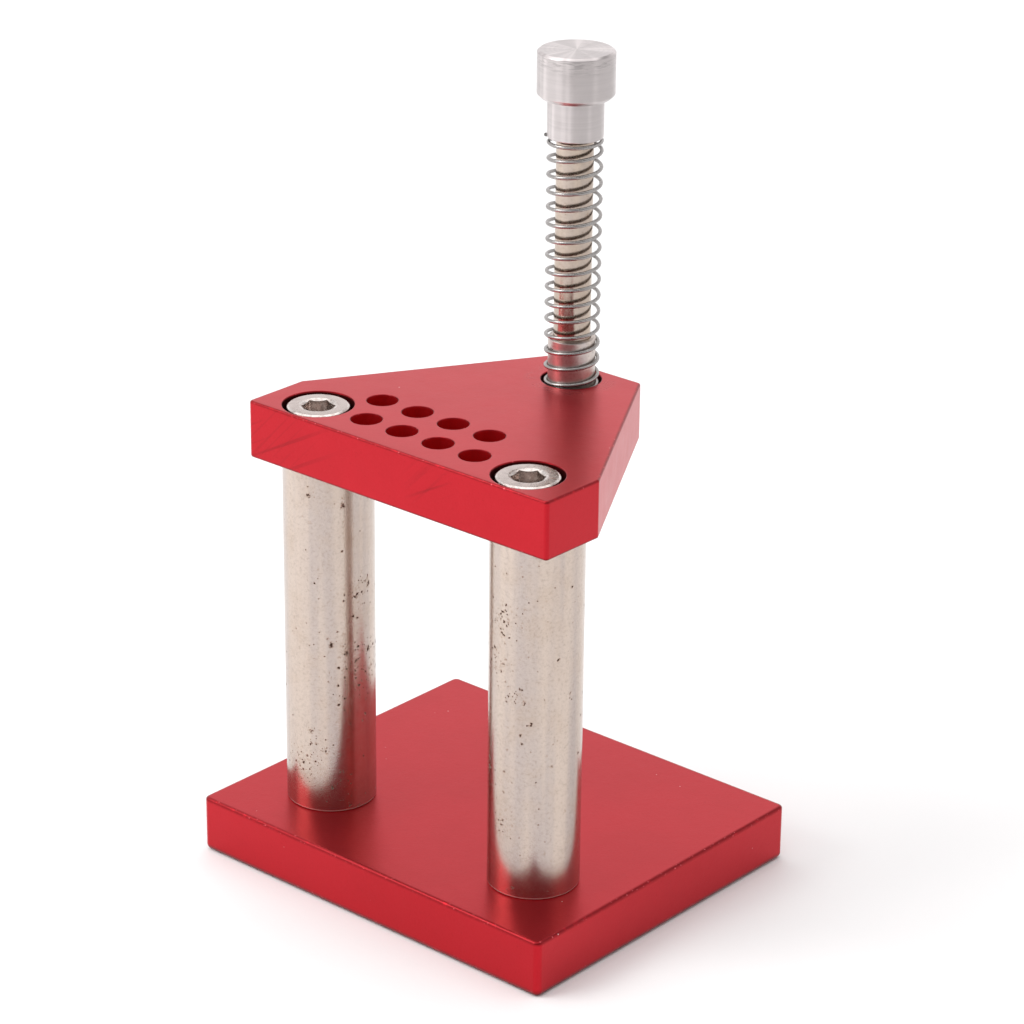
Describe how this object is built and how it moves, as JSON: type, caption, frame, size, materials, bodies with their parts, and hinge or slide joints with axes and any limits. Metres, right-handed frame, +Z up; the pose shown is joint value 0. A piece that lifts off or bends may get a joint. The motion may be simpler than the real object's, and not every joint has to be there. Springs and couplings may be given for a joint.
{
  "type": "plunger press",
  "caption": "Small hand press: a flat base, round columns and a tapered head plate that guides a spring-return plunger, with holes in the head plate for spare dies.",
  "frame": {"origin": "centre of the base's underside", "axes": "+X to the right along the base's front edge, +Y back towards the plunger, +Z up along the columns and the plunger"},
  "size_m": [0.061, 0.052, 0.1115],
  "materials": {
    "red_anodised": "red satin anodised",
    "column_nickel": "nickel plated, finely pitted",
    "screw_steel": "bright plated",
    "sleeve_steel": "polished",
    "rod_nickel": "polished nickel",
    "knob_aluminium": "turned",
    "spring_steel": "bright spring wire"
  },
  "bodies": {
    "press_frame": {"base_plate": "red_anodised", "column_left": "column_nickel", "column_right": "column_nickel", "base_screw_left": "screw_steel", "base_screw_right": "screw_steel", "head_plate": "red_anodised", "head_screw_left": "screw_steel", "head_screw_right": "screw_steel", "guide_sleeve": "sleeve_steel", "return_spring": "spring_steel"},
    "plunger": {"plunger_rod": "rod_nickel", "plunger_knob": "knob_aluminium", "die_socket": "rod_nickel", "die_screw": "screw_steel"}
  },
  "joints": [
    {"name": "plunger_slide", "type": "slide", "parent": "press_frame", "child": "plunger", "axis": [0, 0, -1], "range_m": [0, 0.026], "stiffness_N_per_m": 115, "springref_m": -0.008, "deforming": ["return_spring"]}
  ]
}
